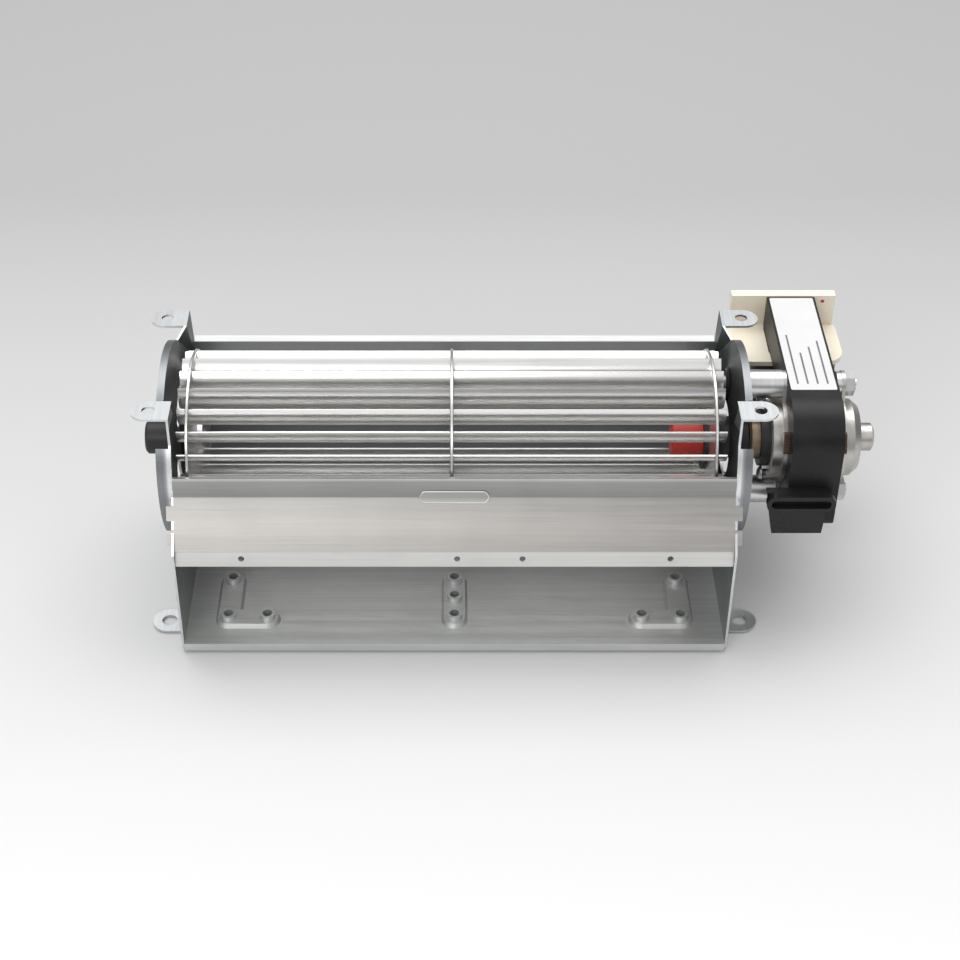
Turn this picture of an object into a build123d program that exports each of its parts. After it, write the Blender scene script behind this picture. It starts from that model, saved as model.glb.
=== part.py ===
"""Cross-flow (tangential) fan: folded steel housing, aluminium blade wheel, C-frame shaded-pole motor.

Frame: X along the shaft towards the motor, +Y from the outlet to the back, +Z up. The origin is midway
between the two foot-tab holes, on the tabs' underside. Millimetres.
"""

import os
from math import cos, radians, sin, sqrt

from build123d import *

os.makedirs("parts", exist_ok=True)

# ---- housing ----
sheet = 0.8                # galvanised sheet
duct_width = 184.0         # between the side plates
outlet_y = -15.0           # plane of the outlet mouth
outlet_height = 37.7       # lower edge of the baffle above the feet
floor_top = 3.5            # inner face of the duct floor
scroll_r = 37.2            # inner radius of the rear scroll
scroll_y = 31.0            # where the floor runs into the scroll
scroll_top = 71.2          # top of the scroll's back wall
scroll_flange = 4.0        # stiffening flange on the back wall
shaft_y = 30.0
shaft_z = 58.0
collar_r = 33.0            # turned rim round the inlet, about the shaft
collar_depth = 4.2         # how far the rim stands out of the plate
lug_width = 5.0
lug_reach = 1.6            # lug standing proud of the plate
lug_gap = 0.1              # play of a lug in its slot

# ---- fixing tabs ----
tab_width = 10.0
tab_hole_r = 2.1
tab_hole_x = 99.0
foot_tab_width = 11.0
foot_hole_r = 2.6
tab_top_z = 86.0
rear_tab_y = 61.0
front_tab_y = 7.0

# ---- floor pads ----
pad_rise = 1.5
pad_width = 9.0
collar_hole_r = 1.65
nut_collar_r = 2.6
nut_collar_rise = 1.8
pad_x_outer = 77.9
pad_x_inner = 64.5
pad_y_front = -2.9
pad_y_middle = 6.8
pad_y_rear = 16.3

# ---- wheel ----
wheel_r = 30.0
blade_tip_r = 29.5
blade_root_r = 22.4
blade_length = 180.0
blade_sheet = 0.5
blade_count = 24
blade_camber_r = 8.5
blade_overhang = 3.4       # blade ends standing past the end discs
wheel_shift = 0.9          # wheel set off from the middle of the duct, away from the motor
ring_sheet = 0.6
ring_inner_r = 21.0
shaft_r = 2.5
running_gap = 0.05         # radial clearance of a shaft in its bush

# ---- motor ----
stack_standoff = 18.6      # lamination stack from the side plate
stack_depth = 17.0
pole_half = 22.0           # half side of the pole block round the rotor
leg_height = 12.0
leg_end_y = 83.5
core_width = 16.0
rotor_r = 13.5
air_gap = 0.4
bolt_dy = 4.5
bolt_dz = 19.0
bolt_r = 2.0
spacer_r = 4.8
grommet_length = 6.2       # rubber between the plate and the steel spacer
bracket_sheet = 1.2
cup_r = 13.2
rear_strap_gap = 1.6       # rear bracket strap behind the stack
front_cup_depth = 3.8
rear_cup_depth = 6.6
rear_boss_length = 6.0

# ---- worked out from the above ----
plate_in = duct_width / 2
plate_out = plate_in + sheet
scroll_z = floor_top + scroll_r
stack_x = plate_out + stack_standoff
stack_end_x = stack_x + stack_depth
strap_x = stack_x - bracket_sheet
front_cup_x = strap_x - front_cup_depth
rear_strap_x = stack_end_x + rear_strap_gap
rear_cup_end_x = rear_strap_x + rear_cup_depth
rear_boss_end_x = rear_cup_end_x + rear_boss_length
spacer_start_x = plate_out + grommet_length
left_disc_x = -blade_length / 2 + blade_overhang - wheel_shift
right_disc_x = blade_length / 2 - blade_overhang - wheel_shift
pole_front = shaft_y - pole_half
pole_back = shaft_y + pole_half
pole_low = shaft_z - pole_half
pole_high = shaft_z + pole_half
core_y = leg_end_y - 1 - core_width / 2
bolt_places = [(shaft_y + bolt_dy, shaft_z + bolt_dz), (shaft_y - bolt_dy, shaft_z - bolt_dz)]


def save(solid, name):
    """Label a finished piece and write its STEP file."""
    solid.label = name
    export_step(solid, f"parts/{name}.step")


def at_x(x):
    """The section plane (Y across, Z up) moved along the shaft."""
    return Plane.YZ.offset(x)


# ================= housing =================

# Section of the baffle (tongue): outlet edge, bend, crease and the lip beside the wheel.
baffle_points = [
    (outlet_y + sheet, outlet_height),
    (outlet_y + sheet + 1.0, outlet_height + 5.6),
    (shaft_y - collar_r - 1.2, shaft_z + 1.0),
    (shaft_y - wheel_r - 2.4, shaft_z + 7.6),
]
hem_length = 4.0
baffle_hole_r = 1.0
baffle_hole_x = (-70.2, 0.9, 22.4, 71.1)
bead_length = 22.0
bead_width = 3.4
baffle_lugs = (0.25, 0.7)           # places of the lugs up the sloping face, as shares of it
scroll_lug_z = (46.0, 62.0)


def between(a, b, share):
    """A point part of the way from a to b."""
    return (a[0] + (b[0] - a[0]) * share, a[1] + (b[1] - a[1]) * share)


slope_low, crease, lip = baffle_points[1:]
slope = Vector(0, crease[0] - slope_low[0], crease[1] - slope_low[1]).normalized()
lip_rise = Vector(0, lip[0] - crease[0], lip[1] - crease[1])
hem_start = between(lip, crease, hem_length / lip_rise.length)


def lug_plane(side, share):
    """Plane of a baffle lug's section at the plate's inner face, its x axis up the sloping sheet."""
    y, z = between(slope_low, crease, share)
    middle = Vector(0, y, z) + slope.rotate(Axis.X, -90) * (sheet / 2)
    return Plane(origin=(side * plate_in, middle.Y, middle.Z), x_dir=slope, z_dir=(side, 0, 0))


def scroll_lug_plane(side, z):
    """Plane of a lug's section on the scroll's back wall, at the plate's inner face."""
    y = scroll_y + scroll_r + sheet / 2
    return Plane(origin=(side * plate_in, y, z), x_dir=(0, 0, 1), z_dir=(side, 0, 0))


with BuildPart() as front_baffle:
    with BuildSketch(at_x(-plate_in)):
        with BuildLine():
            Polyline(*baffle_points)
            offset(amount=sheet, side=Side.RIGHT)
        make_face()
        with BuildLine():
            Line(hem_start, lip)
            offset(amount=sheet, side=Side.LEFT)
        make_face()
    extrude(amount=duct_width)
    for side in (-1, 1):
        for share in baffle_lugs:
            with BuildSketch(lug_plane(side, share)):
                Rectangle(lug_width, sheet)
            extrude(amount=sheet + lug_reach)
    with BuildSketch(Plane.XZ.offset(-outlet_y)):
        with Locations(*[(x, outlet_height + 2.9) for x in baffle_hole_x]):
            Circle(baffle_hole_r)
    extrude(amount=-4, mode=Mode.SUBTRACT)
    bead_plane = Plane(origin=(0, crease[0], crease[1]), x_dir=(1, 0, 0), z_dir=slope.rotate(Axis.X, 90))
    with BuildSketch(bead_plane):
        SlotOverall(bead_length, bead_width)
    extrude(amount=0.5)
save(front_baffle.part, "front_baffle")

# Floor pads: an L at each end and a bar in the middle, each with collars drawn up for screws.
pad_holes = {
    "left": [(-pad_x_outer, pad_y_front), (-pad_x_outer, pad_y_rear), (-pad_x_inner, pad_y_front)],
    "middle": [(0, pad_y_front), (0, pad_y_middle), (0, pad_y_rear)],
    "right": [(pad_x_outer, pad_y_front), (pad_x_outer, pad_y_rear), (pad_x_inner, pad_y_front)],
}


with BuildPart() as scroll_back:
    with BuildSketch(at_x(-plate_in)):
        with BuildLine():
            Polyline((outlet_y, sheet / 2), (outlet_y, floor_top), (scroll_y, floor_top))
            RadiusArc((scroll_y, floor_top), (scroll_y + scroll_r, scroll_z), -scroll_r)
            back = scroll_y + scroll_r
            Polyline((back, scroll_z), (back, scroll_top), (back + scroll_flange, scroll_top))
            offset(amount=sheet, side=Side.RIGHT)
        make_face()
    extrude(amount=duct_width)
    for rise, inset, mode in ((pad_rise, 0, Mode.ADD), (pad_rise - sheet, sheet, Mode.SUBTRACT)):
        base = floor_top if mode == Mode.ADD else floor_top - sheet
        for holes in pad_holes.values():
            for end in holes[1:]:
                start = holes[0]
                length = abs(end[0] - start[0]) + abs(end[1] - start[1])
                middle = ((start[0] + end[0]) / 2, (start[1] + end[1]) / 2)
                turn = 0 if start[1] == end[1] else 90
                with BuildSketch(Plane.XY.offset(base)):
                    with Locations(middle):
                        SlotCenterToCenter(length, pad_width - 2 * inset, rotation=turn)
                extrude(amount=pad_rise, taper=30 if mode == Mode.ADD else 0, mode=mode)
    for holes in pad_holes.values():
        with BuildSketch(Plane.XY.offset(floor_top + pad_rise)):
            with Locations(*holes):
                Circle(nut_collar_r)
        extrude(amount=nut_collar_rise)
        with BuildSketch(Plane.XY.offset(floor_top - sheet)):
            with Locations(*holes):
                Circle(collar_hole_r)
        extrude(amount=pad_rise + sheet + nut_collar_rise, mode=Mode.SUBTRACT)
    for side in (-1, 1):
        for z in scroll_lug_z:
            with BuildSketch(scroll_lug_plane(side, z)):
                Rectangle(lug_width, sheet)
            extrude(amount=sheet + lug_reach)
save(scroll_back.part, "scroll_back")

# Side plates: one outline for both, with a turned rim, tabs, lug slots and their own bearing openings.
plate_back_y = scroll_y + scroll_z
plate_shoulder_z = 62.0
rim_start = 50.0           # rim angles about the shaft, from +Y towards +Z
rim_end = 236.0
tab_reach = tab_hole_x + 5.7
bush_hole_r = 7.0
left_slot_r = 17.5
left_slot_width = 7.0
left_slot_sweep = 62.0
coupling_hole_r = 13.0
grommet_neck_r = 3.6
plate_corner_r = 2.5


def rim_point(angle, radius):
    """A point on a circle about the shaft, in the YZ plane."""
    return (shaft_y + radius * cos(radians(angle)), shaft_z + radius * sin(radians(angle)))


def tab_outline(side, y, width, hole_r):
    """A tab that stands out of a plate: square at the bend, round at the end, with its hole."""
    start = side * plate_in
    end = side * (tab_reach - width / 2)
    with Locations(((start + end) / 2, y)):
        Rectangle(abs(end - start), width)
    with Locations((end, y)):
        Circle(width / 2)
    with Locations((side * tab_hole_x, y)):
        Circle(hole_r, mode=Mode.SUBTRACT)


def side_plate(side):
    """One side plate, side -1 on the left or 1 at the motor."""
    inner = at_x(side * plate_in)
    outwards = side * sheet
    with BuildPart() as plate:
        with BuildSketch(inner) as plate_outline:
            with BuildLine():
                rim_low = rim_point(180, collar_r)
                rim_high = rim_point(rim_start, collar_r)
                corner = (outlet_y, outlet_height + 5)
                Polyline((scroll_y, 0), (outlet_y, 0), corner, (slope_low[0] - 1.2, slope_low[1]), rim_low)
                ThreePointArc(rim_low, rim_point(115, collar_r), rim_high)
                tab_front = rear_tab_y - tab_width / 2
                Polyline(rim_high, (tab_front, tab_top_z), (tab_front + tab_width, tab_top_z),
                         (plate_back_y, plate_shoulder_z), (plate_back_y, scroll_z))
                RadiusArc((plate_back_y, scroll_z), (scroll_y, 0), scroll_z)
            make_face()
            with Locations((front_tab_y, tab_top_z - 6)):
                Rectangle(tab_width, 12)
            fillet(plate_outline.vertices().group_by(Axis.X)[0].sort_by(Axis.Y)[0], plate_corner_r)
        extrude(amount=outwards)
        for start, end in ((rim_start, 122), (150, rim_end)):
            with BuildSketch(inner):
                with BuildLine():
                    CenterArc((shaft_y, shaft_z), collar_r, start, end - start)
                    offset(amount=sheet, side=Side.LEFT)
                make_face()
            extrude(amount=side * (collar_depth + sheet))
        for y in (front_tab_y, rear_tab_y):
            with BuildSketch(Plane.XY.offset(tab_top_z - sheet)):
                tab_outline(side, y, tab_width, tab_hole_r)
            extrude(amount=sheet)
        with BuildSketch(Plane.XY):
            tab_outline(side, 0, foot_tab_width, foot_hole_r)
        extrude(amount=sheet)
        play = 2 * lug_gap
        for share in baffle_lugs:
            with BuildSketch(lug_plane(side, share)):
                Rectangle(lug_width + play, sheet + play)
            extrude(amount=sheet + lug_reach, mode=Mode.SUBTRACT)
        for z in scroll_lug_z:
            with BuildSketch(scroll_lug_plane(side, z)):
                Rectangle(lug_width + play, sheet + play)
            extrude(amount=sheet + lug_reach, mode=Mode.SUBTRACT)
        with BuildSketch(inner):
            if side < 0:
                with Locations((shaft_y, shaft_z)):
                    Circle(bush_hole_r)
                for middle in (90, 210, 330):
                    with BuildLine():
                        start = middle - left_slot_sweep / 2
                        CenterArc((shaft_y, shaft_z), left_slot_r, start, left_slot_sweep)
                        offset(amount=left_slot_width / 2)
                    make_face()
            else:
                with Locations((shaft_y, shaft_z)):
                    Circle(coupling_hole_r)
                with Locations(*bolt_places):
                    Circle(grommet_neck_r)
        extrude(amount=outwards, mode=Mode.SUBTRACT)
    return plate.part


for name, side in (("left_side_plate", -1), ("right_side_plate", 1)):
    save(side_plate(side), name)

# ================= bearing at the free end =================

bush_flange_r = 9.0
bush_flange = 1.2
bush_barrel_r = 5.8
bush_length = 12.2          # rubber bush outside the plate
bush_lip = 0.8              # inner flange, inside the plate
bearing_r = 4.2
bearing_length = 11.0
bush_end_x = plate_out + bush_length
bearing_start_x = plate_in - bush_lip


def turned(profile):
    """Revolve a closed (x, radius) outline about the shaft axis."""
    with BuildPart() as body:
        with BuildSketch(Plane.XZ.offset(-shaft_y)):
            with BuildLine():
                Polyline(*[(x, shaft_z + r) for x, r in profile], close=True)
            make_face()
        revolve(axis=Axis((0, shaft_y, shaft_z), (1, 0, 0)))
    return body.part


# Rubber bush snapped into the plate: inner flange, neck, outer flange and a barrel with a closed end.
left_bush = turned([
    (-bearing_start_x, bearing_r),
    (-bearing_start_x, bush_flange_r),
    (-plate_in, bush_flange_r),
    (-plate_in, bush_hole_r),
    (-plate_out, bush_hole_r),
    (-plate_out, bush_flange_r),
    (-plate_out - bush_flange, bush_flange_r - 0.4),
    (-plate_out - bush_flange - 1.6, bush_barrel_r),
    (-bush_end_x + 0.8, bush_barrel_r),
    (-bush_end_x, bush_barrel_r - 0.8),
    (-bush_end_x, 0),
    (-bush_end_x + 1.4, 0),
    (-bush_end_x + 1.4, bearing_r),
])
save(left_bush, "left_bush")

left_bearing = turned([
    (-bearing_start_x, shaft_r + running_gap),
    (-bearing_start_x, bearing_r),
    (-bearing_start_x - bearing_length, bearing_r),
    (-bearing_start_x - bearing_length, shaft_r + running_gap),
])
save(left_bearing, "left_bearing")

# ================= wheel =================

disc_hub_r = 8.0
stub_flange_r = 6.0
stub_short = 0.6            # stub shaft ends this far inside its bearing
stub_head = 1.6
blade_lead = 7.0           # angle by which a blade's tip leads its root
blade_phase = 5.1          # angle of the first blade's tip, from +Y towards +Z
hub_reach = 12.0           # coupling inside the wheel
shaft_short = 2.0          # shaft ends this far inside the coupling
hub_clearance = 0.4        # hub to the fixed motor bearing
hub_r = 7.4
hub_flange_r = 11.0
hub_neck_r = 6.5


def blade_sketch():
    """All blade sections on the circle: thin arcs, curved forwards, from root to tip."""
    for k in range(blade_count):
        angle = blade_phase + 360 / blade_count * k
        root = rim_point(angle + blade_lead, blade_root_r)
        tip = rim_point(angle, blade_tip_r - blade_sheet / 2)
        with BuildLine():
            blade = RadiusArc(root, tip, blade_camber_r)
        trace(blade, line_width=blade_sheet)


with BuildPart() as wheel_blades:
    with BuildSketch(at_x(-blade_length / 2 - wheel_shift)):
        blade_sketch()
    extrude(amount=blade_length)
save(wheel_blades.part, "wheel_blades")


def slotted_disc(x, bore_r):
    """A thin disc or ring at x that the blades pass through."""
    with BuildPart() as disc:
        with BuildSketch(at_x(x - ring_sheet / 2)):
            with Locations((shaft_y, shaft_z)):
                Circle(wheel_r)
                Circle(bore_r, mode=Mode.SUBTRACT)
        extrude(amount=ring_sheet)
        with BuildSketch(at_x(x - ring_sheet)):
            blade_sketch()
        extrude(amount=2 * ring_sheet, mode=Mode.SUBTRACT)
    return disc.part


for name, x, bore_r in (
    ("left_end_disc", left_disc_x, shaft_r),
    ("middle_ring", -wheel_shift, ring_inner_r),
    ("right_end_disc", right_disc_x, disc_hub_r),
):
    save(slotted_disc(x, bore_r), name)

stub_end_x = bearing_start_x + bearing_length - stub_short
hub_start_x = right_disc_x - hub_reach
shaft_start_x = hub_start_x + shaft_short
felt_depth = 2.9
bearing_boss_length = 3.6
felt_x = front_cup_x - felt_depth
bearing_boss_start_x = felt_x - bearing_boss_length
hub_end_x = bearing_boss_start_x - hub_clearance

left_stub_shaft = turned([
    (-stub_end_x, 0),
    (-stub_end_x, shaft_r),
    (left_disc_x + ring_sheet / 2, shaft_r),
    (left_disc_x + ring_sheet / 2, stub_flange_r),
    (left_disc_x + ring_sheet / 2 + stub_head, stub_flange_r - 0.6),
    (left_disc_x + ring_sheet / 2 + stub_head, 0),
])
save(left_stub_shaft, "left_stub_shaft")

# Rubber hub: snapped into the right disc, round the motor shaft.
disc_in = right_disc_x - ring_sheet / 2
disc_out = right_disc_x + ring_sheet / 2
hub_flange = 1.2
wheel_hub = turned([
    (disc_in - hub_flange, shaft_r),
    (disc_in - hub_flange, hub_flange_r),
    (disc_in, hub_flange_r),
    (disc_in, disc_hub_r),
    (disc_out, disc_hub_r),
    (disc_out, hub_flange_r),
    (disc_out + hub_flange, hub_flange_r),
    (disc_out + 2 * hub_flange, hub_r),
    (hub_end_x, hub_r - 0.6),
    (hub_end_x, shaft_r),
])
save(wheel_hub, "wheel_hub")

# Silicone sleeve inside the wheel that grips the shaft and drives the hub.
drive_sleeve = turned([
    (hub_start_x, shaft_r),
    (hub_start_x, hub_neck_r - 0.6),
    (hub_start_x + 0.6, hub_neck_r),
    (disc_in - hub_flange, hub_neck_r),
    (disc_in - hub_flange, shaft_r),
])
save(drive_sleeve, "drive_sleeve")

# ================= motor =================

bearing_r_motor = 6.0
bearing_boss_r = 7.5
felt_r = 9.9
bearing_end_x = strap_x - 1.0
ring_end_x = stack_end_x + 1.3
rear_bearing_x = rear_strap_x + 0.6
washer_r = 5.0
shaft_end_x = rear_boss_end_x - 1.6
bolt_play = 0.1
bolt_head_r = 2.8
bolt_head = 0.9
grommet_lip = 0.8
grommet_r = 5.8
nut_r = 4.1
nut_height = 3.2
strap_width = 9.0
front_corner_r = 14.0

motor_shaft = turned([
    (shaft_start_x, 0),
    (shaft_start_x, shaft_r - 0.4),
    (shaft_start_x + 0.4, shaft_r),
    (shaft_end_x - 0.4, shaft_r),
    (shaft_end_x, shaft_r - 0.4),
    (shaft_end_x, 0),
])
save(motor_shaft, "motor_shaft")

# Squirrel-cage rotor: laminated body and cast end rings on the shaft.
rotor_core = turned([
    (bearing_end_x + 0.8, shaft_r),
    (bearing_end_x + 0.8, cup_r - bracket_sheet - 0.5),
    (stack_x, cup_r - bracket_sheet - 0.5),
    (stack_x, rotor_r),
    (stack_end_x, rotor_r),
    (stack_end_x, rotor_r - 0.4),
    (ring_end_x, rotor_r - 0.8),
    (ring_end_x, shaft_r),
])
save(rotor_core, "rotor_core")

with BuildPart() as thrust_washers:
    for start, end in ((bearing_end_x + 0.15, bearing_end_x + 0.8), (ring_end_x, rear_bearing_x - 0.25)):
        with BuildSketch(at_x(start)):
            with Locations((shaft_y, shaft_z)):
                Circle(washer_r)
                Circle(shaft_r, mode=Mode.SUBTRACT)
        extrude(amount=end - start)
save(thrust_washers.part, "thrust_washers")

shading_r = 1.0
shading_pitch = 5.0
shading_angles = (150, 330)
shading_reach = rotor_r + air_gap + 3.2
shading_places = []
for angle in shading_angles:
    middle = rim_point(angle, shading_reach)
    for step in (-shading_pitch / 2, shading_pitch / 2):
        shading_places.append((middle[0] - step * sin(radians(angle)), middle[1] + step * cos(radians(angle))))

# C-shaped lamination stack: pole block round the rotor, two legs back to the coil core.
with BuildPart() as motor_stack:
    with BuildSketch(at_x(stack_x)) as stack_face:
        with BuildLine():
            Polyline(
                (pole_front, pole_low), (leg_end_y, pole_low), (leg_end_y, pole_low + leg_height),
                (pole_back, pole_low + leg_height), (pole_back, pole_high - leg_height),
                (leg_end_y, pole_high - leg_height), (leg_end_y, pole_high), (pole_front, pole_high),
                close=True,
            )
        make_face()
        with Locations((shaft_y, shaft_z)):
            Circle(rotor_r + air_gap, mode=Mode.SUBTRACT)
        with Locations(*bolt_places):
            Circle(bolt_r + bolt_play, mode=Mode.SUBTRACT)
        with Locations(*shading_places):
            Circle(shading_r, mode=Mode.SUBTRACT)
    extrude(amount=stack_depth)
    front_edges = motor_stack.edges().filter_by(Axis.X).group_by(Axis.Y)[0]
    fillet(front_edges.sort_by(Axis.Z)[-1], front_corner_r)
    fillet(front_edges.sort_by(Axis.Z)[0], front_corner_r / 4)
save(motor_stack.part, "motor_stack")

with BuildPart() as coil_core:
    with BuildSketch(at_x(stack_x)):
        with Locations((core_y, shaft_z)):
            Rectangle(core_width, 2 * (pole_half - leg_height))
    extrude(amount=stack_depth)
save(coil_core.part, "coil_core")

# Copper shading rings: two pins through each pole tip, joined across both faces of the stack.
with BuildPart() as shading_rings:
    with BuildSketch(at_x(stack_x - shading_r)):
        with Locations(*shading_places):
            Circle(shading_r)
    extrude(amount=stack_depth + 2 * shading_r)
    for start in (stack_x - 2 * shading_r, stack_end_x):
        for first, second in (shading_places[:2], shading_places[2:]):
            with BuildSketch(at_x(start)):
                with Locations(Location(((first[0] + second[0]) / 2, (first[1] + second[1]) / 2, 0))):
                    SlotCenterToCenter(
                        shading_pitch,
                        2 * shading_r + 0.4,
                        rotation=shading_angles[0] - 90,
                    )
            extrude(amount=2 * shading_r)
save(shading_rings.part, "shading_rings")

# ================= motor brackets, bearings and fasteners =================

bolt_slope = Vector(bolt_dy, bolt_dz).get_angle(Vector(1, 0))
strap_face_r = cup_r + 2.0
bearing_flat = 0.3
boss_r = 4.8
boss_bore_r = 3.2


def bracket(strap_start, profile, bore_r):
    """A die-cast bracket: a strap between the two bolts and a bearing cup turned about the shaft."""
    with BuildPart() as piece:
        with BuildSketch(at_x(strap_start)):
            with Locations((shaft_y, shaft_z)):
                SlotCenterToCenter(2 * sqrt(bolt_dy**2 + bolt_dz**2), strap_width, rotation=bolt_slope)
                Circle(strap_face_r)
                Circle(bore_r, mode=Mode.SUBTRACT)
            with Locations(*bolt_places):
                Circle(bolt_r + bolt_play, mode=Mode.SUBTRACT)
        extrude(amount=bracket_sheet)
        with BuildSketch(Plane.XZ.offset(-shaft_y)):
            with BuildLine():
                Polyline(*[(x, shaft_z + r) for x, r in profile], close=True)
            make_face()
        revolve(axis=Axis((0, shaft_y, shaft_z), (1, 0, 0)))
    return piece.part


front_bracket = bracket(strap_x, [
    (strap_x + bracket_sheet, cup_r - bracket_sheet),
    (strap_x + bracket_sheet, cup_r),
    (front_cup_x + 0.5, cup_r),
    (front_cup_x, cup_r - 0.5),
    (front_cup_x, bearing_r_motor),
    (front_cup_x + bracket_sheet, bearing_r_motor),
    (front_cup_x + bracket_sheet, cup_r - bracket_sheet),
], cup_r - bracket_sheet)
save(front_bracket, "front_bracket")

rear_bracket = bracket(rear_strap_x, [
    (rear_strap_x, cup_r - bracket_sheet),
    (rear_strap_x, cup_r),
    (rear_cup_end_x - 2.4, cup_r),
    (rear_cup_end_x, cup_r - 2.0),
    (rear_cup_end_x + 0.8, boss_r + 1.6),
    (rear_cup_end_x + 0.8, boss_r),
    (rear_boss_end_x - 0.8, boss_r),
    (rear_boss_end_x, boss_r - 1.2),
    (rear_boss_end_x, 0),
    (rear_boss_end_x - 1.2, 0),
    (rear_boss_end_x - 1.2, boss_bore_r),
    (rear_cup_end_x - bracket_sheet, boss_bore_r),
    (rear_cup_end_x - bracket_sheet, cup_r - bracket_sheet - 1.2),
    (rear_cup_end_x - 2.4 - bracket_sheet, cup_r - bracket_sheet),
], cup_r - bracket_sheet)
save(rear_bracket, "rear_bracket")

front_bearing = turned([
    (bearing_boss_start_x, shaft_r + running_gap),
    (bearing_boss_start_x, bearing_boss_r - 0.8),
    (bearing_boss_start_x + 0.8, bearing_boss_r),
    (felt_x, bearing_boss_r),
    (felt_x, bearing_r_motor),
    (bearing_end_x, bearing_r_motor),
    (bearing_end_x, shaft_r + running_gap),
])
save(front_bearing, "front_bearing")

rear_bearing = turned([
    (rear_bearing_x, shaft_r + running_gap),
    (rear_bearing_x, bearing_r_motor - 1),
    (rear_bearing_x + 1.2, bearing_r_motor),
    (rear_cup_end_x - bracket_sheet, bearing_r_motor),
    (rear_cup_end_x - bracket_sheet, shaft_r + running_gap),
])
save(rear_bearing, "rear_bearing")

felt_ring = turned([
    (felt_x, bearing_r_motor),
    (felt_x, felt_r),
    (front_cup_x, felt_r),
    (front_cup_x, bearing_r_motor),
])
save(felt_ring, "felt_ring")


def at_bolts(profile, name):
    """Two like turned pieces, one on each motor bolt; the profile is (x, radius)."""
    with BuildPart() as pair:
        for y, z in bolt_places:
            with BuildSketch(Plane.XZ.offset(-y)):
                with BuildLine():
                    Polyline(*[(x, z + r) for x, r in profile], close=True)
                make_face()
            revolve(axis=Axis((0, y, z), (1, 0, 0)))
    save(pair.part, name)


grommet_bore = bolt_r + bolt_play
at_bolts([
    (plate_in - grommet_lip, grommet_bore), (plate_in - grommet_lip, grommet_r - 1.0),
    (plate_in, grommet_r), (plate_in, grommet_neck_r), (plate_out, grommet_neck_r),
    (plate_out, grommet_r), (spacer_start_x, grommet_r - 0.4), (spacer_start_x, grommet_bore),
], "grommets")
at_bolts([
    (spacer_start_x, grommet_bore), (spacer_start_x, spacer_r), (strap_x, spacer_r), (strap_x, grommet_bore),
], "spacers")
at_bolts([
    (stack_end_x, grommet_bore), (stack_end_x, spacer_r - 0.6),
    (rear_strap_x, spacer_r - 0.6), (rear_strap_x, grommet_bore),
], "rear_spacers")
head_x = plate_in - grommet_lip
at_bolts([
    (head_x - bolt_head, 0), (head_x - bolt_head, bolt_head_r - 0.5), (head_x, bolt_head_r),
    (head_x, bolt_r), (rear_strap_x + bracket_sheet + nut_height + 0.8, bolt_r),
    (rear_strap_x + bracket_sheet + nut_height + 0.8, 0),
], "motor_bolts")

with BuildPart() as motor_nuts:
    with BuildSketch(at_x(rear_strap_x + bracket_sheet)):
        with Locations(*bolt_places):
            RegularPolygon(nut_r, 6)
            Circle(bolt_r, mode=Mode.SUBTRACT)
    extrude(amount=nut_height)
save(motor_nuts.part, "motor_nuts")

# ================= coil =================

bobbin_half_x = 19.5
bobbin_shift = 2.2         # flanges set off from the stack, away from its outer end
bobbin_wall = 1.0
bobbin_flange = 1.8
bobbin_front_y = 60.7
bobbin_corner_r = 7.0
bobbin_back_y = 88.0
terminal_bar_y = 84.4
coil_play = 0.2
winding_build = 11.0
stack_middle = stack_x + stack_depth / 2
core_front = core_y - core_width / 2
core_back = core_y + core_width / 2
half_window = pole_half - leg_height
spade_width = 6.3
spade_length = 9.0
spade_x = (-11.0, 9.0)

with BuildPart() as coil_bobbin:
    tube = (stack_depth + 2 * (coil_play + bobbin_wall), core_width + 2 * (coil_play + bobbin_wall))
    with BuildSketch(Plane.XY.offset(shaft_z - half_window + coil_play)):
        with Locations((stack_middle, core_y)):
            Rectangle(*tube)
    extrude(amount=2 * (half_window - coil_play))
    for z in (shaft_z - half_window + coil_play, shaft_z + half_window - coil_play - bobbin_flange):
        with BuildSketch(Plane.XY.offset(z)) as flange_face:
            with Locations((stack_middle - bobbin_shift, (bobbin_front_y + bobbin_back_y) / 2)):
                RectangleRounded(2 * bobbin_half_x, bobbin_back_y - bobbin_front_y, bobbin_corner_r)
        extrude(amount=bobbin_flange)
    bar_base = shaft_z + half_window - coil_play
    with BuildSketch(Plane.XY.offset(bar_base)):
        with Locations((stack_middle - bobbin_shift, (terminal_bar_y + bobbin_back_y) / 2)):
            Rectangle(2 * (bobbin_half_x - 1), bobbin_back_y - terminal_bar_y)
    extrude(amount=leg_height + coil_play)
    with BuildSketch(Plane.XY.offset(shaft_z - half_window + coil_play)):
        with Locations((stack_middle, core_y)):
            Rectangle(stack_depth + 2 * coil_play, core_width + 2 * coil_play)
    extrude(amount=2 * half_window, mode=Mode.SUBTRACT)
save(coil_bobbin.part, "coil_bobbin")

with BuildPart() as coil_winding:
    with BuildSketch(Plane.XY.offset(shaft_z - half_window + coil_play + bobbin_flange)):
        with Locations((stack_middle, core_y)):
            RectangleRounded(tube[0] + winding_build, tube[1] + 8.4, 5)
            Rectangle(*tube, mode=Mode.SUBTRACT)
    extrude(amount=2 * (half_window - coil_play - bobbin_flange))
save(coil_winding.part, "coil_winding")

# Two spade terminals pressed into the back of the terminal bar.
with BuildPart() as terminals:
    with BuildSketch(Plane.XZ.offset(-bobbin_back_y)):
        with Locations(*[(stack_middle + x, bar_base + leg_height / 2) for x in spade_x]):
            Rectangle(spade_width, sheet)
    extrude(amount=-spade_length)
save(terminals.part, "terminals")

# ================= lead clip =================

clip_low_z = pole_low
clip_high_z = 53.4
clip_left_x = 104.0
clip_thick = 3.0
loop_r = 3.0
loop_wire = 1.6
loop_low_z = 47.0

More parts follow.
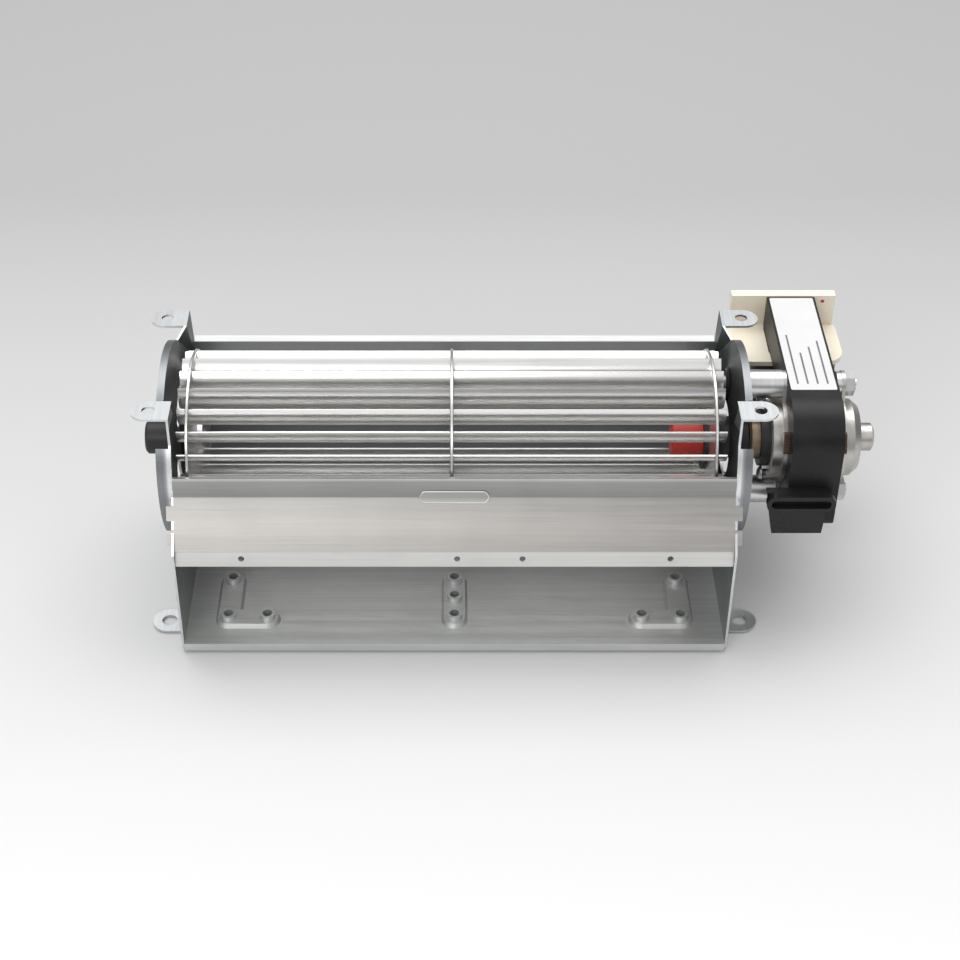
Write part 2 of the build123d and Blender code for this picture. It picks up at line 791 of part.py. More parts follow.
# Moulded clip under the motor: a tapered foot against the stack and an open loop for the leads.
with BuildPart() as lead_clip:
    with BuildSketch(Plane.XZ.offset(-pole_front)):
        with BuildLine():
            Polyline(
                (clip_left_x + 3.2, clip_low_z), (stack_end_x - 4.4, clip_low_z),
                (stack_end_x - 3.2, clip_high_z), (clip_left_x, clip_high_z), close=True,
            )
        make_face()
    extrude(amount=clip_thick)
    loop_width = stack_end_x - 1.4 - clip_left_x
    with BuildSketch(Plane.XZ.offset(-(pole_front - clip_thick))):
        with Locations((clip_left_x + loop_width / 2, (clip_high_z + loop_low_z) / 2)):
            RectangleRounded(loop_width, clip_high_z - loop_low_z, loop_r)
            RectangleRounded(loop_width - 2 * loop_wire, clip_high_z - loop_low_z - 2 * loop_wire, loop_r - loop_wire,
                             mode=Mode.SUBTRACT)
    extrude(amount=2.5)
save(lead_clip.part, "lead_clip")
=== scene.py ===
import math

import bpy
import numpy as np
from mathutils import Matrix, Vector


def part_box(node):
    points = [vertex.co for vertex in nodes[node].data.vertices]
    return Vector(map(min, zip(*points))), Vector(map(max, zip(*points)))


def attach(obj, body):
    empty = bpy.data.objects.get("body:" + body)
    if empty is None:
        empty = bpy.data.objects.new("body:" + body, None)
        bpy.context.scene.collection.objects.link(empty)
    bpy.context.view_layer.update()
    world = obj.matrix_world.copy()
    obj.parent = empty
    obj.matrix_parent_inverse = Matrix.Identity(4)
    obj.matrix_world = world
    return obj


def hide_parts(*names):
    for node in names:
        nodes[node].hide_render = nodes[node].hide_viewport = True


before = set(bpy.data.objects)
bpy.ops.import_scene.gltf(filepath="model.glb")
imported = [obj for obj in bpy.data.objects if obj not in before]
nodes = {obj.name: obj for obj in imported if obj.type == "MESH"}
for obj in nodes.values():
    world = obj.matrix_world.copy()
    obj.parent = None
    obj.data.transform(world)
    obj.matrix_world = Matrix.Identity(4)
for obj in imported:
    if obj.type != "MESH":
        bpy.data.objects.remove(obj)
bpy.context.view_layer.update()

# ---- Scroll ----
# Floor and back wall folded from zinc-coated steel. The rolling grain runs along the fan, with a faint
# bloom of the zinc. Painted light along the fan's depth: the floor is lightened at the outlet, the back
# wall's inside carries a band of painted shade, and its top flange a painted highlight.


def new_material(name):
    """An empty node material and its tools: nodes, links, and the Principled shader."""
    material = bpy.data.materials.new(name)
    material.use_nodes = True
    tree = material.node_tree
    return material, tree.nodes, tree.links, tree.nodes["Principled BSDF"]


def stretched_noise(kit, scale, stretch, detail=4.0, rough=0.6, seed=0.0):
    """Noise on Object coordinates, stretched by a scale for each axis, as a 0 to 1 value."""
    tree_nodes, links = kit
    place = tree_nodes.new("ShaderNodeTexCoord")
    turn = tree_nodes.new("ShaderNodeMapping")
    turn.inputs["Scale"].default_value = stretch
    turn.inputs["Location"].default_value = (seed, seed * 0.7, seed * 1.3)
    noise = tree_nodes.new("ShaderNodeTexNoise")
    noise.inputs["Scale"].default_value = scale
    noise.inputs["Detail"].default_value = detail
    noise.inputs["Roughness"].default_value = rough
    links.new(place.outputs["Object"], turn.inputs["Vector"])
    links.new(turn.outputs["Vector"], noise.inputs["Vector"])
    return noise.outputs["Fac"]


def ramp(kit, value, stops):
    """A colour ramp over a 0 to 1 value; stops are (place, colour)."""
    tree_nodes, links = kit
    node = tree_nodes.new("ShaderNodeValToRGB")
    elements = node.color_ramp.elements
    while len(elements) < len(stops):
        elements.new(0.5)
    for element, (place, colour) in zip(elements, stops):
        element.position = place
        element.color = (*colour, 1.0) if len(colour) == 3 else colour
    links.new(value, node.inputs["Fac"])
    return node.outputs["Color"]


def blend_colours(kit, kind, amount, first, second):
    """Mix two colours by a kind of blend; amount is a number or a value output."""
    tree_nodes, links = kit
    node = tree_nodes.new("ShaderNodeMix")
    node.data_type = "RGBA"
    node.blend_type = kind
    if isinstance(amount, float):
        node.inputs["Factor"].default_value = amount
    else:
        links.new(amount, node.inputs["Factor"])
    for name, value in (("A", first), ("B", second)):
        socket = next(s for s in node.inputs if s.name == name and s.type == "RGBA")
        if isinstance(value, tuple):
            socket.default_value = (*value, 1.0)
        else:
            links.new(value, socket)
    return next(s for s in node.outputs if s.type == "RGBA")


def add_bump(kit, shader, height, strength, distance):
    """Fine relief from a height value."""
    tree_nodes, links = kit
    node = tree_nodes.new("ShaderNodeBump")
    node.inputs["Strength"].default_value = strength
    node.inputs["Distance"].default_value = distance
    links.new(height, node.inputs["Height"])
    links.new(node.outputs["Normal"], shader.inputs["Normal"])


def span(kit, value, low, high):
    """Map a 0 to 1 value to a range, as for a roughness."""
    tree_nodes, links = kit
    node = tree_nodes.new("ShaderNodeMapRange")
    node.inputs["To Min"].default_value = low
    node.inputs["To Max"].default_value = high
    links.new(value, node.inputs["Value"])
    return node.outputs["Result"]


def sheet_metal(name, dark, light, rough, grain, metal=1.0, relief=0.12):
    """Rolled sheet: streaks along the grain in colour and gloss, with soft blotches over them."""
    material, tree_nodes, links, shader = new_material(name)
    kit = (tree_nodes, links)
    fine = stretched_noise(kit, 60.0, grain, 5.0, 0.65)
    broad = stretched_noise(kit, 9.0, tuple(0.25 * g for g in grain), 3.0, 0.5, 3.1)
    blotch = stretched_noise(kit, 45.0, (1, 1, 1), 3.0, 0.55, 7.7)
    streaks = ramp(kit, fine, [(0.3, dark), (0.7, light)])
    middle = tuple(0.5 * (a + b) for a, b in zip(dark, light))
    cloudy = ramp(kit, broad, [(0.35, tuple(0.9 * c for c in middle)),
                               (0.65, tuple(1.08 * c for c in middle))])
    base = blend_colours(kit, "MIX", 0.45, streaks, cloudy)
    bloom = ramp(kit, blotch, [(0.35, (0.93, 0.93, 0.93)), (0.62, (1.0, 1.0, 1.0))])
    links.new(blend_colours(kit, "MULTIPLY", 0.7, base, bloom), shader.inputs["Base Color"])
    links.new(span(kit, fine, rough - 0.07, rough + 0.09), shader.inputs["Roughness"])
    shader.inputs["Metallic"].default_value = metal
    add_bump(kit, shader, fine, relief, 0.0002)
    return material


def dress(node, material):
    """Give a CAD node its finish."""
    slots = nodes[node].data.materials
    slots.clear()
    slots.append(material)


along_fan = (0.35, 22.0, 22.0)
galvanised = sheet_metal("galvanised_sheet", (0.52, 0.53, 0.53), (0.70, 0.71, 0.71), 0.42,
                         along_fan, metal=0.7)
dress("scroll_back", galvanised)


def shade_along(material, axis, low, high, stops):
    """Multiply the base colour by a ramp over one Object coordinate, from low to high in metres."""
    tree = material.node_tree
    kit = (tree.nodes, tree.links)
    shader = tree.nodes["Principled BSDF"]
    place = tree.nodes.new("ShaderNodeTexCoord")
    split = tree.nodes.new("ShaderNodeSeparateXYZ")
    share = tree.nodes.new("ShaderNodeMapRange")
    share.inputs["From Min"].default_value = low
    share.inputs["From Max"].default_value = high
    tree.links.new(place.outputs["Object"], split.inputs["Vector"])
    tree.links.new(split.outputs[axis], share.inputs["Value"])
    colour = shader.inputs["Base Color"].links[0].from_socket
    tint = ramp(kit, share.outputs["Result"], stops)
    tree.links.new(blend_colours(kit, "MULTIPLY", 1.0, colour, tint), shader.inputs["Base Color"])


scroll_low, scroll_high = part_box("scroll_back")
# Painted light over Y: lighter floor in front, darker towards the wall, painted shade on the wall's inside,
# painted highlight on the top flange.
shade_along(galvanised, "Y", scroll_low.y, scroll_high.y,
            [(0.0, (1.12, 1.13, 1.11)), (0.5, (1.05, 1.05, 1.04)), (0.80, (0.8, 0.8, 0.8)),
             (0.92, (0.33, 0.33, 0.34)), (0.955, (0.33, 0.33, 0.34)), (0.96, (1.35, 1.35, 1.35))])

# ---- Baffle ----
# The same sheet folded to the outlet's upper edge and a hemmed lip beside the wheel. Painted light by
# height: the lower fold carries a painted highlight, the slope has a warm bloom, the lip a painted shade,
# and the lip's top edge a painted highlight.
baffle_low, baffle_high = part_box("front_baffle")
baffle_finish = sheet_metal("baffle_sheet", (0.47, 0.465, 0.455), (0.60, 0.595, 0.58), 0.40, along_fan)
# Painted light over Z: painted highlight on the lower fold and the lip's top edge, painted shade on the
# lip.
shade_along(baffle_finish, "Z", baffle_low.z, baffle_high.z,
            [(0.0, (1.3, 1.3, 1.3)), (0.19, (1.3, 1.3, 1.29)), (0.205, (0.92, 0.89, 0.87)),
             (0.5, (1.0, 0.97, 0.95)), (0.74, (0.86, 0.86, 0.84)), (0.765, (0.62, 0.64, 0.62)),
             (0.96, (0.74, 0.76, 0.74)), (0.99, (1.2, 1.2, 1.2))])
dress("front_baffle", baffle_finish)

# ---- Baffle bead ----
# An oblong pressed over the crease between lip and slope; its round edge is coloured lighter than the
# sheet, a painted highlight. It sits in front of the shaft and a little above it.

ring_low, ring_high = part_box("middle_ring")
shaft_y = (ring_low.y + ring_high.y) / 2
shaft_z = (ring_low.z + ring_high.z) / 2


def mesh_piece(name, points, faces, material, smooth=True):
    """A mesh object from an (n, 3) array of points and its faces, linked and given its finish."""
    mesh = bpy.data.meshes.new(name)
    mesh.from_pydata(np.asarray(points).tolist(), [], faces)
    mesh.polygons.foreach_set("use_smooth", [smooth] * len(mesh.polygons))
    mesh.materials.append(material)
    piece = bpy.data.objects.new(name, mesh)
    bpy.context.scene.collection.objects.link(piece)
    return piece


def grid_faces(rows, columns):
    """Quads of a grid that closes on itself both ways."""
    i, j = np.meshgrid(np.arange(rows), np.arange(columns), indexing="ij")
    i2, j2 = (i + 1) % rows, (j + 1) % columns
    quads = np.stack([i * columns + j, i2 * columns + j, i2 * columns + j2, i * columns + j2], -1)
    return quads.reshape(-1, 4).tolist()


bead_half = 0.0093       # half the straight part, along the fan
bead_r = 0.0019          # radius of the ends
bead_round = 0.00042     # radius of the pressed edge
bead_forward = 0.0342    # from the shaft to the crease
bead_rise = 0.0012
bead_steps = 72
bead_sides = 10
slope_way = np.array([0.0, 0.497, 0.868])    # up the slope, as a unit vector
lip_way = np.array([0.0, 0.263, 0.965])      # up the lip
bead_out = np.array([0.0, -0.92, 0.39])      # out of the sheet at the crease


def pressed_bead(steps, sides):
    """A round edge of radius w along an oblong bent over the crease. At angle t the oblong is at
    x = h sign(cos t) + r cos t and r sin t up the lip, or down the slope where that is negative;
    ring point p is the oblong's point + w (radial cos p + outward sin p)."""
    turn = np.linspace(0, 2 * np.pi, steps, endpoint=False)
    up = bead_r * np.sin(turn)
    rise = np.where(up[:, None] > 0, up[:, None] * lip_way, up[:, None] * slope_way)
    centre = np.array([0.0, shaft_y - bead_forward, shaft_z + bead_rise]) + rise
    centre[:, 0] = bead_half * np.sign(np.cos(turn)) + bead_r * np.cos(turn)
    radial = np.stack([np.cos(turn), bead_out[2] * np.sin(turn), -bead_out[1] * np.sin(turn)], 1)
    phase = np.linspace(0, 2 * np.pi, sides, endpoint=False)
    ring = radial[:, None] * np.cos(phase)[None, :, None] + bead_out * np.sin(phase)[None, :, None]
    return (centre[:, None] + bead_round * ring).reshape(-1, 3)


# Lighter sheet colour on the bead: a painted highlight.
bead_highlight_finish = sheet_metal("bead_painted_highlight", (0.62, 0.61, 0.60), (0.80, 0.79, 0.78), 0.34, along_fan)
baffle_bead = mesh_piece("baffle_bead", pressed_bead(bead_steps, bead_sides),
                         grid_faces(bead_steps, bead_sides), bead_highlight_finish)
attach(baffle_bead, "housing")

# ---- Side plates ----
# Blanked and folded from the same sheet, with the grain across the fan. Faces that look in toward the wheel
# are a darker copy of the sheet, a painted shade that is lightened towards the bottom; the turned rims
# carry a painted highlight near the plate and a painted shade on their outer band.
across_fan = (20.0, 0.5, 20.0)
inside_top = 0.09
plate_finish = sheet_metal("plate_sheet", (0.54, 0.56, 0.57), (0.76, 0.78, 0.79), 0.38, across_fan)
# Painted shade: a darker copy of the plate sheet for faces that look inwards, lightened over Z at the
# outlet.
plate_inside_shade = sheet_metal("plate_inside_shade", (0.10, 0.105, 0.105), (0.19, 0.20, 0.195), 0.50, across_fan)
shade_along(plate_inside_shade, "Z", 0.0, inside_top,
            [(0.0, (2.7, 2.75, 2.7)), (0.33, (2.2, 2.25, 2.2)), (0.46, (1.0, 1.0, 1.0))])
# Painted light on the rims over X: a painted highlight near the plate and a painted shade on the outer
# band.
plate_rim = sheet_metal("plate_rim", (0.60, 0.61, 0.62), (0.78, 0.79, 0.80), 0.40, across_fan)
plate_reach = abs(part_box("left_side_plate")[0].x)
tab_start = 0.926 * plate_reach
rim_shade, rim_highlight = (0.38, 0.39, 0.40), (1.2, 1.2, 1.2)
rim_shade_from = 0.0942 / (2 * plate_reach)
rim_highlight_to = 0.0936 / (2 * plate_reach)
shade_along(plate_rim, "X", -plate_reach, plate_reach,
            [(0.0, rim_shade), (0.5 - rim_shade_from, rim_shade), (0.5 - rim_highlight_to, rim_highlight),
             (0.5 + rim_highlight_to, rim_highlight), (0.5 + rim_shade_from, rim_shade), (1.0, rim_shade)])
drawn_r = (0.0320, 0.0331)
drawn_angle = (49, 123.2)
rim_band_r = (0.0318, 0.0348)
recess = 0.0026
sheet_depth = 0.0009


def mesh_array(items, field):
    """A vector field of a mesh's vertices or polygons as an (n, 3) array."""
    flat = np.empty(3 * len(items))
    items.foreach_get(field, flat)
    return flat.reshape(-1, 3)


def recessed_plate(node, side):
    """The plate with its sheet drawn outwards above the wheel: points of the inner face that lie on the
    rim's circle, between two angles about the shaft, move along X by the recess. Faces that look inwards
    get a darker copy of the sheet, a painted shade, and those that look out from the shaft at the rim get
    the rim's painted highlight and painted shade."""
    mesh = nodes[node].data.copy()
    points = mesh_array(mesh.vertices, "co")
    y, z = points[:, 1] - shaft_y, points[:, 2] - shaft_z
    radius = np.hypot(y, z)
    angle = np.degrees(np.arctan2(z, y))
    inner_x = np.abs(points[:, 0]).min()
    drawn = (angle > drawn_angle[0]) & (angle < drawn_angle[1])
    drawn &= (radius > drawn_r[0]) & (radius < drawn_r[1])
    drawn &= np.abs(points[:, 0]) < inner_x + sheet_depth
    points[drawn, 0] += side * recess
    mesh.vertices.foreach_set("co", points.ravel())
    normals = mesh_array(mesh.polygons, "normal")
    centres = mesh_array(mesh.polygons, "center") - (0, shaft_y, shaft_z)
    reach = np.hypot(centres[:, 1], centres[:, 2])
    radial = (normals[:, 1] * centres[:, 1] + normals[:, 2] * centres[:, 2]) / reach
    finish = (normals[:, 0] * side < -0.6).astype(np.int32)
    on_rim = (radial > 0.97) & (reach > rim_band_r[0]) & (reach < rim_band_r[1])
    finish[on_rim & (np.abs(centres[:, 0]) < tab_start)] = 2
    mesh.materials.clear()
    for material in (plate_finish, plate_inside_shade, plate_rim):
        mesh.materials.append(material)
    mesh.polygons.foreach_set("material_index", finish)
    piece = bpy.data.objects.new(node.replace("side_plate", "drawn_plate"), mesh)
    bpy.context.scene.collection.objects.link(piece)
    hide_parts(node)
    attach(piece, "housing")


recessed_plate("left_side_plate", -1)
recessed_plate("right_side_plate", 1)

# ---- Blade wheel ----
# Strips of bright aluminium, rolled to a forward curve and pressed through thin discs.
# The strips mirror the lamp above them.
blade_finish = sheet_metal("blade_strip", (0.78, 0.77, 0.76), (0.93, 0.925, 0.91), 0.27,
                           (0.2, 30.0, 30.0), relief=0.06)
dress("wheel_blades", blade_finish)
disc_finish = sheet_metal("disc_sheet", (0.70, 0.69, 0.67), (0.88, 0.87, 0.85), 0.30,
                          (10.0, 1.0, 10.0), relief=0.05)
for node in ("left_end_disc", "middle_ring", "right_end_disc"):
    dress(node, disc_finish)

# ---- Ring rims ----
# The edge of each wheel disc is rolled over into a bright round bead that shows as a wire
# across the blades.
rim_centre_r = 0.02937
rim_wire_r = 0.00063


def rolled_rims(places, steps, sides):
    """Tori about the shaft: point (a, b) of the torus at x is
    (x + w sin b, shaft_y + (R + w cos b) cos a, shaft_z + (R + w cos b) sin a)."""
    a, b = np.meshgrid(np.linspace(0, 2 * np.pi, steps, endpoint=False),
                       np.linspace(0, 2 * np.pi, sides, endpoint=False), indexing="ij")
    reach = rim_centre_r + rim_wire_r * np.cos(b)
    points, faces = [], []
    for k, x in enumerate(places):
        points.append(np.stack([x + rim_wire_r * np.sin(b), shaft_y + reach * np.cos(a),
                                shaft_z + reach * np.sin(a)], -1).reshape(-1, 3))
        faces += (np.array(grid_faces(steps, sides)) + k * steps * sides).tolist()
    return np.concatenate(points), faces


disc_x = []
for node in ("left_end_disc", "middle_ring", "right_end_disc"):
    disc_low, disc_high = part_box(node)
    disc_x.append((disc_low.x + disc_high.x) / 2)
rim_points, rim_faces = rolled_rims(disc_x, 160, 12)
rim_finish = sheet_metal("rim_wire", (0.66, 0.66, 0.65), (0.86, 0.86, 0.85), 0.26,
                         (10.0, 1.0, 1.0), relief=0.03)
ring_rims = mesh_piece("ring_rims", rim_points, rim_faces, rim_finish)
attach(ring_rims, "wheel")

# ---- Rubber: bush, hub, grommets, drive sleeve ----
# Moulded rubber, dull black with a bloom of dust; the sleeve inside the wheel is red silicone.


def moulded(name, colour, rough, speckle=0.25, grain=900.0, relief=0.15, depth=0.0001):
    """Moulded rubber or plastic: one colour with a soft unevenness and a fine matt grain."""
    material, tree_nodes, links, shader = new_material(name)
    kit = (tree_nodes, links)
    cloud = stretched_noise(kit, 60.0, (1, 1, 1), 4.0, 0.6)
    fine = stretched_noise(kit, grain, (1, 1, 1), 2.0, 0.5, 2.0)
    darker = tuple(c * (1 - speckle) for c in colour)
    lighter = tuple(min(1.0, c * (1 + 0.5 * speckle) + 0.004) for c in colour)
    links.new(ramp(kit, cloud, [(0.3, darker), (0.7, lighter)]), shader.inputs["Base Color"])
    links.new(span(kit, cloud, rough - 0.08, rough + 0.1), shader.inputs["Roughness"])
    add_bump(kit, shader, fine, relief, depth)
    return material


rubber = moulded("black_rubber", (0.012, 0.012, 0.013), 0.50)
for node in ("left_bush", "grommets", "wheel_hub", "felt_ring"):
    dress(node, rubber)
dress("drive_sleeve", moulded("red_silicone", (0.60, 0.045, 0.035), 0.42))

# ---- Zinc-plated steel: shafts, bolts, nuts, spacers ----
# Turned and cold-headed steel, bright zinc plate with fine tool marks round it.
zinc = sheet_metal("zinc_plate", (0.62, 0.62, 0.62), (0.80, 0.80, 0.81), 0.30,
                   (40.0, 1.5, 1.5), relief=0.08)
for node in ("left_stub_shaft", "motor_shaft", "motor_bolts", "motor_nuts", "spacers",
             "rear_spacers"):
    dress(node, zinc)

# ---- Bearings ----
# Sintered bronze bushes, matt and brown with oil.
bronze = moulded("sintered_bronze", (0.36, 0.28, 0.20), 0.45, 0.35, 1400.0, 0.4)
bronze.node_tree.nodes["Principled BSDF"].inputs["Metallic"].default_value = 0.8
for node in ("left_bearing", "front_bearing", "rear_bearing"):
    dress(node, bronze)

# ---- Motor stack and coil core ----
# Stamped laminations, riveted and dipped in black varnish: the edges show as fine lines across.


def lamination_varnish(name):
    """Black varnish over stacked sheets: a fine ridge every sheet along X and a satin gloss."""
    material, tree_nodes, links, shader = new_material(name)
    kit = (tree_nodes, links)
    place = tree_nodes.new("ShaderNodeTexCoord")
    wave = tree_nodes.new("ShaderNodeTexWave")
    wave.wave_type = "BANDS"
    wave.bands_direction = "X"
    wave.inputs["Scale"].default_value = 320.0
    wave.inputs["Distortion"].default_value = 0.6
    links.new(place.outputs["Object"], wave.inputs["Vector"])
    cloud = stretched_noise(kit, 70.0, (1, 1, 1), 4.0, 0.6)
    colour = ramp(kit, cloud, [(0.3, (0.006, 0.006, 0.007)), (0.7, (0.016, 0.0155, 0.015))])
    links.new(colour, shader.inputs["Base Color"])
    links.new(span(kit, cloud, 0.32, 0.48), shader.inputs["Roughness"])
    shader.inputs["Specular IOR Level"].default_value = 0.28
    add_bump(kit, shader, wave.outputs["Fac"], 0.25, 0.0001)
    return material


varnish = lamination_varnish("black_varnish")
dress("motor_stack", varnish)
dress("coil_core", varnish)

# ---- Coil: bobbin, winding, terminals ----
# A cream nylon bobbin wound with enamelled wire under dark tape.
cream = moulded("cream_nylon", (0.92, 0.85, 0.70), 0.40, 0.06, 500.0, 0.05)
cream_shader = cream.node_tree.nodes["Principled BSDF"]
cream_shader.inputs["Subsurface Weight"].default_value = 0.1
cream_shader.inputs["Subsurface Radius"].default_value = (0.003, 0.002, 0.001)
dress("coil_bobbin", cream)


def wound_wire(name, colour):
    """Turns of enamelled wire lying side by side up the bobbin."""
    material, tree_nodes, links, shader = new_material(name)
    kit = (tree_nodes, links)
    place = tree_nodes.new("ShaderNodeTexCoord")
    wave = tree_nodes.new("ShaderNodeTexWave")
    wave.bands_direction = "Z"
    wave.inputs["Scale"].default_value = 520.0
    links.new(place.outputs["Object"], wave.inputs["Vector"])
    darker = tuple(0.3 * c for c in colour)
    turns = ramp(kit, wave.outputs["Fac"], [(0.1, darker), (0.7, colour)])
    links.new(turns, shader.inputs["Base Color"])
    shader.inputs["Roughness"].default_value = 0.35
    shader.inputs["Coat Weight"].default_value = 0.4
    add_bump(kit, shader, wave.outputs["Fac"], 0.6, 0.0002)
    return material


dress("coil_winding", wound_wire("winding", (0.075, 0.045, 0.03)))
copper = wound_wire("shading_copper", (0.10, 0.052, 0.030))
copper.node_tree.nodes["Principled BSDF"].inputs["Metallic"].default_value = 0.6
dress("shading_rings", copper)
dress("terminals", sheet_metal("tinned_brass", (0.62, 0.58, 0.48), (0.76, 0.73, 0.64), 0.32,
                               (4.0, 4.0, 20.0)))

# ---- Brackets ----
# Die-cast zinc brackets, warm grey with a slightly pebbled skin.


def casting(name, dark, light, rough):
    """Die-cast metal: pebbled skin with soft light and dark patches."""
    material, tree_nodes, links, shader = new_material(name)
    kit = (tree_nodes, links)
    cloud = stretched_noise(kit, 120.0, (1, 1, 1), 5.0, 0.6)
    pebble = stretched_noise(kit, 700.0, (1, 1, 1), 3.0, 0.5, 4.0)
    links.new(ramp(kit, cloud, [(0.3, dark), (0.7, light)]), shader.inputs["Base Color"])
    links.new(span(kit, cloud, rough - 0.08, rough + 0.08), shader.inputs["Roughness"])
    shader.inputs["Metallic"].default_value = 1.0
    add_bump(kit, shader, pebble, 0.25, 0.0002)
    return material


cast = casting("die_cast", (0.40, 0.385, 0.365), (0.62, 0.60, 0.57), 0.38)
dress("front_bracket", cast)
dress("rear_bracket", cast)

# ---- Retainer screws ----
# Two round-headed screws hold the felt retainer on the front bracket, one each side of the shaft.
cup_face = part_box("front_bracket")[0].x
head_r = 0.00235
head_dome = 0.0018
head_seat = cup_face - 0.0016
shank_r = 0.0013
shank_sink = 0.0004
screw_offset = (0.0075, 0.0096)
screw_steps = 32


def turned_heads(centres, steps):
    """Domed heads turned about X: the dome's point at angle a is (seat - d cos a, R sin a), then
    the shank. Point (x, r) of this profile goes round each centre as (x, y + r cos t, z + r sin t)."""
    arc = np.linspace(0.12, np.pi / 2, 8)
    dome = np.column_stack([head_seat - head_dome * np.cos(arc), head_r * np.sin(arc)])
    profile = np.vstack([[head_seat - head_dome, 1e-5], dome,
                         [head_seat, shank_r], [cup_face + shank_sink, shank_r]])
    turn = np.linspace(0, 2 * np.pi, steps, endpoint=False)
    rows = len(profile)
    i, j = np.meshgrid(np.arange(rows - 1), np.arange(steps), indexing="ij")
    j2 = (j + 1) % steps
    quads = np.stack([i * steps + j, (i + 1) * steps + j, (i + 1) * steps + j2, i * steps + j2], -1)
    points, faces = [], []
    for k, (y, z) in enumerate(centres):
        grid = np.stack([np.repeat(profile[:, :1], steps, 1), y + profile[:, 1:] * np.cos(turn),
                         z + profile[:, 1:] * np.sin(turn)], -1)
        points.append(grid.reshape(-1, 3))
        faces += (quads.reshape(-1, 4) + k * rows * steps).tolist()
    return np.concatenate(points), faces


screw_centres = [(shaft_y + way * screw_offset[0], shaft_z + way * screw_offset[1]) for way in (-1, 1)]
head_points, head_faces = turned_heads(screw_centres, screw_steps)
retainer_screws = mesh_piece("retainer_screws", head_points, head_faces, zinc)
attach(retainer_screws, "housing")

# ---- Rotor ----
# Cast iron-grey end rings over a stack of stampings.
dress("rotor_core", casting("rotor_iron", (0.40, 0.39, 0.37), (0.62, 0.60, 0.56), 0.38))

# ---- Lead clip and washers ----
# Black nylon, moulded with a satin face.
nylon = moulded("black_nylon", (0.011, 0.011, 0.012), 0.27, relief=0.06)
nylon.node_tree.nodes["Principled BSDF"].inputs["Specular IOR Level"].default_value = 0.3
dress("lead_clip", nylon)
dress("thrust_washers", nylon)

# ---- Motor label ----
# A white vinyl rectangle stuck on top of the stack, bare but for four plain bars.
stack_low, stack_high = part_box("motor_stack")
label_margin = 0.0008
label_front = stack_low.y + 0.0187
label_back = stack_high.y - label_margin
label_lift = 0.00012
label_corner = 0.0006


def rounded_plate(name, x0, x1, y0, y1, z, thick, radius, corner_steps=6):
    """A flat plate with rounded corners: its outline is four quarter circles joined by straight
    edges, each point being corner centre + radius * (cos a, sin a); top and bottom are fans."""
    quarter = np.linspace(0, np.pi / 2, corner_steps)
    outline = []
    for k, (cx, cy) in enumerate(((x1, y1), (x0, y1), (x0, y0), (x1, y0))):
        cx = cx - radius * (1 if cx == x1 else -1)
        cy = cy - radius * (1 if cy == y1 else -1)
        angle = quarter + k * np.pi / 2
        outline.append(np.stack([cx + radius * np.cos(angle), cy + radius * np.sin(angle)], 1))
    ring = np.concatenate(outline)
    count = len(ring)
    low = np.column_stack([ring, np.full(count, z)])
    high = np.column_stack([ring, np.full(count, z + thick)])
    step = np.arange(count)
    after = (step + 1) % count
    sides = np.stack([step, after, after + count, step + count], 1).tolist()
    mesh = bpy.data.meshes.new(name)
    mesh.from_pydata(np.concatenate([low, high]).tolist(), [],
                     sides + [list(range(count))[::-1], list(range(count, 2 * count))])
    piece = bpy.data.objects.new(name, mesh)
    bpy.context.scene.collection.objects.link(piece)
    return piece


motor_label = rounded_plate("motor_label", stack_low.x + label_margin, stack_high.x - label_margin,
                            label_front, label_back, stack_high.z, label_lift, label_corner)
vinyl, vinyl_nodes, vinyl_links, vinyl_shader = new_material("white_vinyl")
vinyl_kit = (vinyl_nodes, vinyl_links)
vinyl_cloud = stretched_noise(vinyl_kit, 80.0, (1, 1, 1), 3.0, 0.5)
vinyl_links.new(ramp(vinyl_kit, vinyl_cloud, [(0.3, (0.68, 0.68, 0.68)), (0.7, (0.72, 0.72, 0.72))]),
                vinyl_shader.inputs["Base Color"])
vinyl_shader.inputs["Roughness"].default_value = 0.4
motor_label.data.materials.append(vinyl)
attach(motor_label, "housing")
ink = moulded("label_ink", (0.16, 0.16, 0.16), 0.5)


bar_count = 4
bar_width = 0.0006
bar_margin = 0.0035


def ruled_lines(rows, y_low, y_high, reach):
    """Thin bars side by side across the label; bar k runs from y_low over a share
    1 - reach (3k mod 4) / 4 of the way to y_high."""
    k = np.arange(rows)
    x = np.linspace(stack_low.x + bar_margin, stack_high.x - bar_margin, rows)
    top = y_low + (y_high - y_low) * (1 - reach * ((k * 3) % 4) / 4)
    z = stack_high.z + 1.6 * label_lift
    corners = [np.stack([x + sx * bar_width / 2, np.where(sy > 0, top, y_low), np.full(rows, z)], 1)
               for sx, sy in ((-1, -1), (1, -1), (1, 1), (-1, 1))]
    return np.stack(corners, 1).reshape(-1, 3), np.arange(4 * rows).reshape(-1, 4).tolist()


label_length = label_back - label_front
line_points, line_faces = ruled_lines(bar_count, label_front + 0.06 * label_length,
                                      label_front + 0.58 * label_length, 0.5)
label_lines = mesh_piece("label_lines", line_points, line_faces, ink, smooth=False)
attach(label_lines, "housing")

# ---- Bobbin mark ----
# A small red dot of paint on the front of the bobbin's upright bar.
bobbin_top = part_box("coil_bobbin")[1].z
bobbin_points = np.array([vertex.co for vertex in nodes["coil_bobbin"].data.vertices])
bar_face = bobbin_points[bobbin_points[:, 2] > bobbin_top - 0.0005][:, 1].min()
dot_x = 0.1317
dot_drop = 0.0023
dot_r = 0.0007
dot_lift = 0.00006
dot_turn = np.linspace(0, 2 * np.pi, 20, endpoint=False)
dot_points = np.column_stack([dot_x + dot_r * np.cos(dot_turn), np.full(len(dot_turn), bar_face - dot_lift),
                              bobbin_top - dot_drop + dot_r * np.sin(dot_turn)])
red_paint = moulded("red_paint", (0.55, 0.03, 0.02), 0.4)
bobbin_mark = mesh_piece("bobbin_mark", dot_points, [list(range(len(dot_turn)))], red_paint, smooth=False)
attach(bobbin_mark, "housing")

